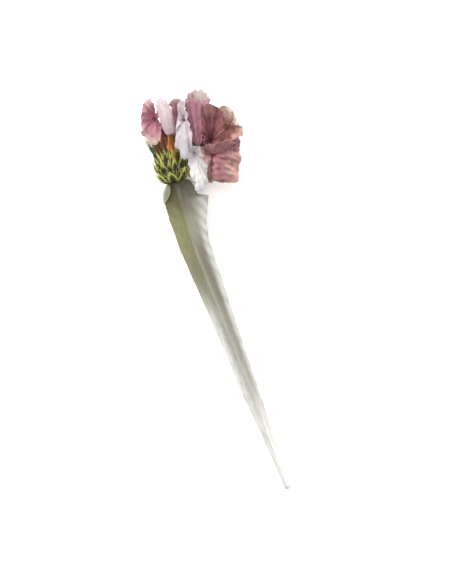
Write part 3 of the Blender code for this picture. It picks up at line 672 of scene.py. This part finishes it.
CUP_FOOT = STEM_FOOT + np.array([-1.05, 69.3, 8.2])
CUP_AXIS = np.array([0.122, 0.993, 0.0])
CUP_RIGHT = np.array([0.993, -0.122, 0.0])
CUP_UP = np.array([0.0, 0.0, 1.0])
CUP_THROAT = 1.27
CUP_FIRST, CUP_STEP = 0.85, 0.46  # how much wider than the throat the inner layer gets, and each one after it
CUP_STARTS = [1.6, 0.9, 0.35, -0.15]  # where each layer leaves the stem, from the inner one outwards
RIM_LAYER = 3
BRACT_WALL = 0.09
BRACT_ROWS, BRACT_COLUMNS = 26, 11
BRACT_LATE = 6  # the most that the waves of a bract start late by
BRACTS = [
    # name, layer, degrees round the cup, height of the tip, half width, splay, paper
    ("inner_bract_1", 0, 20, 11.4, 1.3, 3.0, "orange"),
    ("inner_bract_2", 0, -40, 8.7, 1.2, 0.5, "brown"),
    ("inner_bract_3", 0, 68, 6.4, 0.85, 0.0, "brown"),
    ("inner_bract_4", 0, 124, 6.0, 0.85, 0.0, "brown"),
    ("inner_bract_5", 0, -92, 7.8, 0.85, 0.0, "dark"),
    ("inner_bract_6", 0, -148, 6.6, 0.9, 0.0, "brown"),
    ("middle_bract_1", 1, -16, 8.0, 0.9, 0.5, "green"),
    ("middle_bract_2", 1, 44, 7.6, 0.9, 0.15, "green"),
    ("middle_bract_3", 1, -65, 7.6, 0.95, 0.1, "dark"),
    ("middle_bract_4", 1, 94, 5.6, 0.95, 0.1, "green"),
    ("middle_bract_5", 1, 146, 5.8, 0.95, 0.1, "green"),
    ("middle_bract_6", 1, -119, 6.6, 0.95, 0.2, "green"),
    ("middle_bract_7", 1, -168, 6.0, 0.95, 0.2, "green"),
    ("outer_bract_1", 2, -82, 5.5, 1.05, 0.85, "straw"),
    ("outer_bract_2", 2, 70, 5.2, 1.05, 0.1, "straw"),
    ("outer_bract_3", 2, -34, 5.2, 1.05, 0.1, "olive"),
    ("outer_bract_4", 2, 16, 4.9, 1.05, 0.1, "olive"),
    ("outer_bract_5", 2, 120, 4.8, 1.1, 0.2, "olive"),
    ("outer_bract_6", 2, 174, 5.0, 1.1, 0.2, "olive"),
    ("outer_bract_7", 2, -132, 5.4, 1.1, 0.3, "olive"),
    ("rim_bract_1", 3, -58, 2.6, 1.1, 0.2, "straw"),
    ("rim_bract_2", 3, -6, 2.2, 1.1, 0.15, "straw"),
    ("rim_bract_3", 3, 44, 2.5, 1.1, 0.15, "straw"),
    ("rim_bract_4", 3, 108, 2.0, 0.95, 0.35, "straw"),
    ("rim_bract_5", 3, 160, 2.3, 1.05, 0.25, "straw"),
    ("rim_bract_6", 3, -112, 2.4, 1.15, 0.2, "straw"),
]
# Small leaves between the bracts, in the looks alone.
CUP_FILLERS = [
    # layer, degrees round the cup, height of the tip, half width, splay, paper
    (0, -58, 9.2, 1.1, 1.9, "dark"), (0, -44, 9.4, 1.2, 2.0, "brown"), (0, -27, 10.8, 1.3, 2.2, "brown"),
    (0, -72, 8.6, 1.1, 1.6, "dark"), (0, -88, 8.0, 1.1, 1.7, "dark"), (0, -8, 11.4, 1.2, 2.5, "brown"),
    (0, 32, 10.8, 1.0, 1.6, "brown"), (0, -76, 9.4, 0.9, 2.3, "dark"), (0, -84, 8.6, 0.9, 1.9, "dark"),
    (0, -66, 10.0, 1.0, 2.4, "dark"), (0, 0, 12.2, 1.3, 1.7, "brown"), (0, 42, 8.4, 0.8, 0.9, "green"),
    (0, 60, 7.6, 0.8, 0.7, "green"), (0, 82, 6.8, 0.8, 0.6, "green"), (0, -102, 7.0, 0.9, 1.0, "green"),
    (1, 5, 8.3, 0.85, 0.5, "green"), (1, 16, 7.6, 0.62, 0.9, "gold"), (1, 24, 7.6, 0.7, 0.4, "green"),
    (1, 62, 6.4, 0.8, 0.3, "olive"), (1, -46, 7.2, 0.9, 0.7, "straw"), (1, -30, 6.6, 0.8, 0.5, "olive"),
    (1, -90, 6.6, 0.9, 0.5, "dark"), (1, -74, 6.6, 1.0, 0.9, "dark"), (1, -60, 6.0, 0.9, 1.0, "olive"),
    (1, -98, 5.6, 1.0, 0.9, "dark"), (2, -96, 4.6, 1.0, 0.9, "olive"), (2, -60, 4.4, 0.9, 0.7, "green"),
    (2, -10, 4.6, 0.8, 0.4, "green"), (2, 42, 4.8, 0.9, 0.3, "green"), (2, 88, 4.8, 0.9, 0.5, "olive"),
    (1, 8, 6.2, 0.6, 0.7, "olive"), (2, 54, 6.4, 0.8, 0.25, "straw"),
]
AXIS_BRACTS = [
    # calyx, degrees round its tube, length
    (6, 200, 2.2), (10, 150, 1.4), (12, 300, 2.8), (13, 220, 2.8), (14, 260, 2.8), (15, 260, 2.8),
    (16, 100, 2.8), (17, 220, 2.8),
]
AXIS_BRACT_WIDTH, AXIS_BRACT_REACH = 0.72, 0.86
AXIS_SEED, FILLER_SEED = 40, 70  # the first ones; the numbered bracts of the cup count from 0


def cup_radius(layer, height):
    stretch = np.maximum(0.0, height - CUP_STARTS[layer])
    return CUP_THROAT + (CUP_FIRST + CUP_STEP * layer) * (1 - np.exp(-stretch / 0.8))


def bract_surface(place, along, right, up, reach, foot, tip, degrees, half_width, seed):
    """A keeled leaf with a drawn-out point, held round a stalk, as rows from its foot to its tip."""
    across = np.linspace(-1, 1, BRACT_COLUMNS)[None]
    t = np.linspace(0, 1, BRACT_ROWS)[:, None] ** 1.25
    chance = np.random.default_rng(seed)
    height = foot + (tip - foot) * t
    outline = np.maximum(0.03, (0.62 + 2.1 * t) * (1 - t) ** 1.15)
    ragged = 1 + 0.09 * np.sin(19 * t + chance.uniform(0, BRACT_LATE)) * t
    ragged = ragged + 0.05 * np.sin(43 * t + chance.uniform(0, BRACT_LATE))
    keel = 0.14 * (1 - np.abs(across)) ** 1.5 * (0.3 + t) - 0.1 * np.abs(across) ** 3 * t
    radius = reach(t, height) + keel * np.minimum(1, 2 * outline)
    radius = radius + 0.06 * np.sin(9 * t + chance.uniform(0, BRACT_LATE)) * t
    bend = chance.uniform(-0.1, 0.1) * t**2
    turn = math.radians(degrees) + across * (half_width * outline * ragged / radius) + bend
    ways = np.sin(turn)[..., None] * right + np.cos(turn)[..., None] * up
    return place + (height * np.ones_like(across))[..., None] * along + ways * radius[..., None]


def cup_bract_points(layer, degrees, tip, half_width, splay, seed):
    def reach(t, height):
        return cup_radius(layer, height) + splay * t**2

    return bract_surface(CUP_FOOT, CUP_AXIS, CUP_RIGHT, CUP_UP, reach, CUP_STARTS[layer], tip, degrees,
                         half_width, seed)


def axis_bract_points(calyx, degrees, length, seed):
    def reach(t, height):
        return AXIS_BRACT_REACH + 0.06 * height

    out = unit(np.array(calyx["out"]))
    right = unit(np.cross(out, CUP_UP))
    seat = np.array(calyx["seat"]) + STEM_FOOT
    return bract_surface(seat, out, right, np.cross(right, out), reach, 0.0, length, degrees,
                         AXIS_BRACT_WIDTH, seed)


def make_bract(name, points, material):
    nodes = [] if name.startswith("filler") else [name]
    return finish_piece(f"leaf_{name}", lay(points, False), nodes, material, BRACT_WALL)


HAIR_SEED = 12
MARGIN_HAIRS = 26  # on each leaf
FRINGE_HAIRS = 560
HAIR_SIDES = 3
HAIR_PLACES = [0, 0, -1, -1, 3, 7]  # columns of a leaf that they grow from, most of them its margins


def add_hair(bm, foot, way, length, radius):
    way = Vector(way).normalized()
    turned = way.to_track_quat("Z", "Y").to_matrix().to_4x4()
    place = Matrix.Translation(Vector(foot) + way * (length / 2)) @ turned
    bmesh.ops.create_cone(bm, segments=HAIR_SIDES, radius1=radius, radius2=radius * 0.15, depth=length,
                          cap_ends=True, matrix=place)


def add_margin_hair(bm, points, chance):
    """A bristle on one leaf, leaning out past its margin and on towards its tip."""
    j = chance.integers(2, BRACT_ROWS - 3)
    foot = points[j, chance.choice(HAIR_PLACES)]
    middle, beyond = points[j : j + 2, BRACT_COLUMNS // 2]
    out, ahead = unit(foot - middle), unit(beyond - middle)
    away = unit(middle - CUP_FOOT - (middle - CUP_FOOT) @ CUP_AXIS * CUP_AXIS)
    way = out * chance.uniform(0.2, 0.9) + ahead * chance.uniform(0.5, 1.2) + away * chance.uniform(0.0, 0.6)
    way = way + chance.normal(size=3) * 0.2
    add_hair(bm, foot, way, chance.uniform(0.3, 0.75), chance.uniform(0.018, 0.034))


def add_fringe_hair(bm, chance):
    """A bristle at the foot of the cup, on the rim of its outermost leaves."""
    turn = chance.uniform(0, 2 * math.pi)
    height = chance.uniform(-0.3, 2.4)
    ways = CUP_RIGHT * math.sin(turn) + CUP_UP * math.cos(turn)
    foot = CUP_FOOT + CUP_AXIS * height + ways * (cup_radius(RIM_LAYER, height) + 0.05)
    way = CUP_AXIS * chance.uniform(0.3, 1.2) + ways * chance.uniform(0.1, 0.7) + chance.normal(size=3) * 0.4
    add_hair(bm, foot, way, chance.uniform(0.3, 0.9), chance.uniform(0.025, 0.05))


def make_hairs(leaves, material):
    """The fine bristles of the cup, most along the leaves' margins, and a fringe of them round its foot."""
    chance = np.random.default_rng(HAIR_SEED)
    bm = bmesh.new()
    for points in leaves:
        for _ in range(MARGIN_HAIRS):
            add_margin_hair(bm, points, chance)
    for _ in range(FRINGE_HAIRS):
        add_fringe_hair(bm, chance)
    return finish_piece("cup_bristles", bm, [], material, smooth=False)


# ---- stem

STEM_LINE = [
    (0.0, 0.0, 0.45, 0.43), (-0.35, 14.0, 2.1, 0.62), (-1.0, 32.0, 4.2, 0.68), (-1.7, 48.0, 6.0, 0.74),
    (-1.85, 57.0, 7.0, 0.8), (-1.45, 62.8, 7.65, 0.82), (-1.0, 67.2, 8.1, 0.8), (-1.0, 69.4, 8.15, 0.72),
    (-0.8, 72.2, 7.8, 0.62), (-0.1, 74.4, 7.5, 0.58), (1.3, 76.1, 7.6, 0.58), (3.6, 76.7, 8.2, 0.62),
    (6.1, 75.7, 8.2, 0.66), (7.7, 73.8, 8.2, 0.66), (8.1, 72.6, 8.2, 0.5),
]
# Edges of the two broad wings: height up the stem, and how far across.
LEFT_EDGE = [
    (0.0, -0.5), (4.0, -0.9), (8.0, -1.2), (14.5, -1.8), (22.0, -2.6), (33.0, -3.1), (44.0, -3.9),
    (55.5, -4.8), (62.0, -4.8), (66.0, -4.6), (67.0, -4.3), (68.0, -3.9), (69.0, -3.3), (69.5, -2.6),
]
RIGHT_EDGE = [
    (0.0, 0.5), (4.0, 0.8), (11.0, 0.95), (20.0, 1.0), (31.0, 1.1), (42.5, 1.35), (53.0, 1.55), (55.7, 1.6),
    (59.4, 2.3), (61.7, 3.2), (63.8, 4.1), (65.0, 4.7), (65.4, 4.5), (65.7, 3.1), (66.1, 2.6), (67.0, 2.4),
    (68.2, 2.3), (69.0, 1.9), (69.5, 1.2),
]
WING_TOP = 69.5
WINGED_SHARE = 0.62  # of the rows of the stem; the rest are the flower axis
WING_HALF = 0.17  # half thickness of a wing
# How dark the right wing is beside the core, by height.
SHADES = [
    (12.0, 0.05), (22.0, 0.25), (27.0, 0.4), (38.0, 0.45), (44.0, 0.7), (50.0, 0.9), (55.0, 0.85),
    (57.5, 0.35), (61.0, 0.3), (63.5, 0.75), (66.0, 1.0),
]
EAR_TOP = (64.9, 65.9)  # heights between which the ear of the right wing ends
RIDGE, RIDGE_END = 0.5, 68.0
STEM_ROWS, STEM_COLUMNS = 240, 72
FLOOR_CLEARANCE = 0.02


def stem_outline(radius, left, right, ridge):
    """One cross-section: a round core, a thin wing each side and a narrow one on top."""
    half = WING_HALF

    def wing(edge, side, face):
        """The points of a wing from its edge to the core, on its upper or its lower face."""
        middle = edge / 2 + side * radius / 2
        return [(edge - side * 0.05, face * 0.4 * half), (middle, face * 0.8 * half),
                (side * (radius + 0.15), face * half)]

    points = [(left, 0.0), *wing(left, -1, 1)]
    points += [(-0.8 * radius, 0.6 * radius), (-0.34 * radius, 0.95 * radius), (-0.12, radius + 0.55 * ridge)]
    points += [(-0.06, radius + ridge), (0.06, radius + ridge), (0.12, radius + 0.55 * ridge)]
    points += [(0.34 * radius, 0.95 * radius), (0.8 * radius, 0.6 * radius), *reversed(wing(right, 1, 1))]
    points += [(right, 0.0), *wing(right, 1, -1)]
    points += [(0.8 * radius, -0.6 * radius), (0.3 * radius, -0.97 * radius), (-0.3 * radius, -0.97 * radius)]
    points += [(-0.8 * radius, -0.6 * radius), *reversed(wing(left, -1, -1))]
    return closed_curve([(a, b, 0.0) for a, b in points], STEM_COLUMNS)[:, :2]


def stem_tones(y, x, left, right):
    """The marks of a cross-section at height y, for points at x across it."""
    low = 1 - smooth_step(y, 20.0, 50.0)
    cup_side = smooth_step(y, *EAR_TOP)
    pale = smooth_step(x / right, 0.45, 0.9) * (0.95 - 0.45 * low) * (1 - cup_side)
    pale = pale + smooth_step(x / left, 0.15, 0.8) * (1 - smooth_step(y, 36.0, 50.0))
    shade = smooth_step(x, 0.1 - 0.4 * low, 0.9 - 0.4 * low) * np.interp(y, *zip(*SHADES))
    shade = shade * (1 - smooth_step(x, 1.6, 3.2) * (1 - cup_side))
    # The right wing's dull grey is painted shade.
    wing = smooth_step(x, -0.5, 1.0) * (1 - low)
    return {"pale": np.clip(pale, 0, 1), "shade": np.clip(shade, 0, 1), "wing": wing, "across": 0.5 + x / 6}


def wing_edges(x, y):
    """How far the wings reach to the left and to the right of the core, with their edges' slight waves."""
    left = np.interp(y, *zip(*LEFT_EDGE)) - x + 0.03 * math.sin(y * 1.1) + 0.02 * math.sin(y * 2.9 + 1)
    right = np.interp(y, *zip(*RIGHT_EDGE)) - x + 0.04 * math.sin(y * 1.3 + 2) + 0.03 * math.sin(y * 3.3)
    return left, right


def stem_surface():
    """Rows of points round the stem from its cut end to the end of the flower axis, and its marks."""
    line = open_curve(STEM_LINE, STEM_ROWS)
    rings, tones = [], []
    for i, (x, y, z, radius) in enumerate(line):
        ahead = unit((line[min(i + 1, STEM_ROWS - 1)] - line[max(i - 1, 0)])[:3])
        side = unit(np.array([ahead[1], -ahead[0], 0.0]))
        up = np.cross(side, ahead)
        if y <= WING_TOP and i < STEM_ROWS * WINGED_SHARE:
            left, right = wing_edges(x, y)
            ridge = RIDGE * min(1.0, max(0.0, RIDGE_END - y) / 4) * (0.85 + 0.15 * math.sin(y * 0.9))
        else:
            left, right, ridge = -radius * 1.02, radius * 1.02, 0.0
        left, right = min(left, -radius - 0.05), max(right, radius + 0.05)
        outline = stem_outline(radius, left, right, ridge)
        wave = 0.5 * math.sin(y / 5.2) + 0.25 * math.sin(y / 2.3 + 1.0)
        beyond = np.maximum(0.0, np.abs(outline[:, 0]) - radius)
        lift = beyond * (0.07 + 0.03 * wave * np.sign(outline[:, 0]))
        lift += 0.045 * beyond * np.sin(y * 1.9 + 3 * outline[:, 0])
        rings.append(np.array([x, y, z]) + outline[:, :1] * side + (outline[:, 1] + lift)[:, None] * up)
        tones.append(stem_tones(y, outline[:, 0], left, right))
    points = np.array(rings)
    grooves = np.sin(np.arange(STEM_COLUMNS) * 2.1)[None] * 0.018
    points[..., 2] += grooves + 0.02 * waves(points * np.array([2.0, 0.5, 2.0]), 5, 2.0)
    return points + STEM_FOOT, {name: np.array([ring[name] for ring in tones]) for name in tones[0]}


def make_stem(material):
    points, marks = stem_surface()
    points[..., 2] = np.maximum(points[..., 2], FLOOR_CLEARANCE)
    bm = lay(points, True, marks)
    bmesh.ops.holes_fill(bm, edges=bm.edges, sides=0)
    bmesh.ops.recalc_face_normals(bm, faces=bm.faces)
    return finish_piece("stem_with_wings", bm, ["winged_stem"], material)


SCALE_LEAF = [
    # x, y, z, half width, from its foot to its point
    (-2.3, 69.4, 8.75, 0.2), (-2.8, 68.8, 9.0, 0.5), (-3.3, 68.0, 9.0, 0.72), (-3.85, 67.2, 8.85, 0.64),
    (-4.35, 66.4, 8.65, 0.36), (-4.7, 65.8, 8.5, 0.05),
]
SCALE_LEAF_SIDE = np.array([0.85, -0.5, 0.0])
SCALE_LEAF_ROWS, SCALE_LEAF_COLUMNS = 24, 9


def make_scale_leaf(material):
    across = np.linspace(-1, 1, SCALE_LEAF_COLUMNS)[:, None]
    rows = []
    for x, y, z, half in open_curve(SCALE_LEAF, SCALE_LEAF_ROWS):
        middle = np.array([x, y, z]) + STEM_FOOT
        rows.append(middle + SCALE_LEAF_SIDE * half * across + CUP_UP * 0.45 * (1 - across * across) * half)
    points = np.array(rows)
    points[..., 2] += 0.03 * np.sin(across[:, 0] * 9)[None]
    return make_bract("scale_leaf", points, material)


# ---- putting it together

PAPER_TONES = {
    # in the throat, halfway and at the lip; of the veins, and of the light that shines through
    "mauve": ((202, 136, 150), (176, 130, 144), (212, 192, 178), (122, 74, 90), (200, 150, 160)),
    "dusky_mauve": ((204, 144, 156), (168, 120, 136), (180, 170, 166), (120, 72, 88), (196, 146, 158)),
    "pale_pink": ((218, 188, 198), (210, 190, 198), (224, 214, 212), (190, 158, 170), (224, 206, 212)),
    "white": ((206, 188, 196), (197, 190, 195), (203, 201, 203), (176, 162, 174), (210, 204, 208)),
    # Painted light: the white paper made lighter for calyx 10, which the key light reaches less than calyx 3.
    "paled": ((224, 216, 219), (222, 217, 219), (224, 224, 225), (196, 188, 194), (228, 226, 227)),
    "rose": ((136, 86, 98), (160, 114, 128), (196, 168, 162), (108, 64, 78), (190, 142, 148)),
    "shaded_rose": ((164, 104, 108), (134, 88, 92), (176, 134, 132), (100, 54, 62), (170, 114, 118)),
    "peach": ((184, 128, 122), (195, 162, 150), (214, 199, 186), (112, 70, 68), (206, 174, 160)),
    "dusty_pink": ((204, 142, 144), (148, 106, 110), (196, 160, 150), (108, 62, 72), (190, 144, 144)),
}
# The calyces that aren't of rose paper, by their paper.
CALYX_PAPERS = {
    1: "mauve", 2: "pale_pink", 3: "white", 4: "mauve", 5: "dusky_mauve", 6: "shaded_rose", 7: "peach",
    8: "dusty_pink", 10: "paled", 11: "mauve", 14: "dusty_pink", 16: "peach",
}
LEAF_TONES = {
    # of the core, the flesh, the margins and the point, and how far out the flesh reaches
    "dark": ((18, 20, 12), (38, 44, 22), (108, 114, 60), (84, 92, 48), 0.66),
    "green": ((22, 22, 10), (42, 48, 18), (164, 168, 76), (160, 166, 78), 0.74),
    "olive": ((24, 22, 10), (46, 44, 18), (180, 178, 84), (176, 176, 88), 0.72),
    "straw": ((30, 26, 12), (86, 86, 34), (190, 190, 96), (186, 188, 100), 0.52),
    "brown": ((58, 34, 18), (112, 66, 36), (142, 92, 50), (112, 62, 36), 0.5),
    "gold": ((122, 82, 24), (184, 140, 48), (206, 176, 84), (170, 150, 62), 0.5),
    "orange": ((134, 62, 24), (182, 108, 42), (212, 158, 66), (106, 62, 42), 0.6),
}
SCALE_LEAF_TONES = ((122, 122, 100), (150, 150, 132), (182, 182, 166), (168, 168, 150), 0.5)


def bract_material(name, tones):
    *colours, body = tones
    return leaf_paper(name, *(srgb(*colour) for colour in colours), body)


papers = {
    paper: petal_paper(f"{paper}_paper", *(srgb(*tone) for tone in tones))
    for paper, tones in PAPER_TONES.items()
}
for number in CALYCES:
    make_calyx(number, papers[CALYX_PAPERS.get(number, "rose")])

leaves = {leaf: bract_material(f"{leaf}_bract_leaf", tones) for leaf, tones in LEAF_TONES.items()}
cup_leaves = []
for seed, (name, layer, degrees, tip, half_width, splay, leaf) in enumerate(BRACTS):
    points = cup_bract_points(layer, degrees, tip, half_width, splay, seed)
    cup_leaves.append(points)
    make_bract(name, points, leaves[leaf])
for i, (number, degrees, length) in enumerate(AXIS_BRACTS):
    points = axis_bract_points(CALYCES[number], degrees, length, i + AXIS_SEED)
    make_bract(f"axis_bract_{i + 1}", points, leaves["olive"])
for i, (layer, degrees, tip, half_width, splay, leaf) in enumerate(CUP_FILLERS):
    points = cup_bract_points(layer, degrees, tip, half_width, splay, i + FILLER_SEED)
    cup_leaves.append(points)
    make_bract(f"filler_{i + 1}", points, leaves[leaf])
make_hairs(cup_leaves, hair_straw())

make_stem(stem_skin())
make_scale_leaf(bract_material("scale_leaf_paper", SCALE_LEAF_TONES))


# ---- setting

FLOOR_HALF = 1.5  # of the floor's width, in metres
VIEW_LEAN = -19.4  # degrees that the camera is turned by, so that the stem leans
VIEW_MIDDLE = Vector((STEM_FOOT + np.array([1.39, 44.11, 8.02])) * MM)
VIEW_HEIGHT = 340.7 * MM
HEAD = (CUP_FOOT * MM) + np.array([0.006, 0.004, 0.0])
LIGHT_DISTANCE = 0.5  # from the head, in metres


def pale_floor():
    bm = bmesh.new()
    bmesh.ops.create_grid(bm, x_segments=1, y_segments=1, size=FLOOR_HALF)
    mesh = bpy.data.meshes.new("floor")
    bm.to_mesh(mesh)
    bm.free()
    n = Nodes("pale_floor")
    n.shader.inputs["Base Color"].default_value = (0.9, 0.9, 0.9, 1.0)
    n.shader.inputs["Roughness"].default_value = 0.9
    n.shader.inputs["Specular IOR Level"].default_value = 0.1
    mesh.materials.append(n.material)
    floor = bpy.data.objects.new("floor", mesh)
    bpy.context.scene.collection.objects.link(floor)


def camera_above():
    """A camera that looks straight down."""
    data = bpy.data.cameras.new("camera")
    data.lens = 100.0
    data.sensor_width = 36.0
    data.clip_start = 0.01
    camera = bpy.data.objects.new("camera", data)
    camera.location = VIEW_MIDDLE + Vector((0, 0, VIEW_HEIGHT))
    camera.rotation_euler = (0, 0, math.radians(VIEW_LEAN))
    bpy.context.scene.collection.objects.link(camera)
    bpy.context.scene.camera = camera


def soft_light(name, size, power, colour, turn, high):
    """A square light that faces the head, turn degrees round it from the view's right and high degrees up."""
    light = bpy.data.lights.new(name, "AREA")
    light.size = size
    light.energy = power
    light.color = colour
    lamp = bpy.data.objects.new(name, light)
    bpy.context.scene.collection.objects.link(lamp)
    a, e = math.radians(turn + VIEW_LEAN), math.radians(high)
    way = Vector((math.cos(e) * math.cos(a), math.cos(e) * math.sin(a), math.sin(e)))
    lamp.location = Vector(HEAD) + way * LIGHT_DISTANCE
    lamp.rotation_mode = "QUATERNION"
    lamp.rotation_quaternion = way.to_track_quat("Z", "Y")


def even_sky():
    world = bpy.data.worlds.new("studio")
    world.use_nodes = True
    sky = world.node_tree.nodes["Background"]
    sky.inputs["Color"].default_value = (1.0, 1.0, 1.0, 1.0)
    sky.inputs["Strength"].default_value = 0.82
    bpy.context.scene.world = world


pale_floor()
camera_above()
soft_light("key", 0.22, 2.8, (1.0, 0.975, 0.94), 128.0, 42.0)
soft_light("front", 0.3, 0.9, (1.0, 0.98, 0.96), 100.0, 80.0)
soft_light("rim", 0.2, 2.2, (1.0, 0.93, 0.86), 40.0, 25.0)
even_sky()
bpy.context.scene.view_settings.view_transform = "Standard"
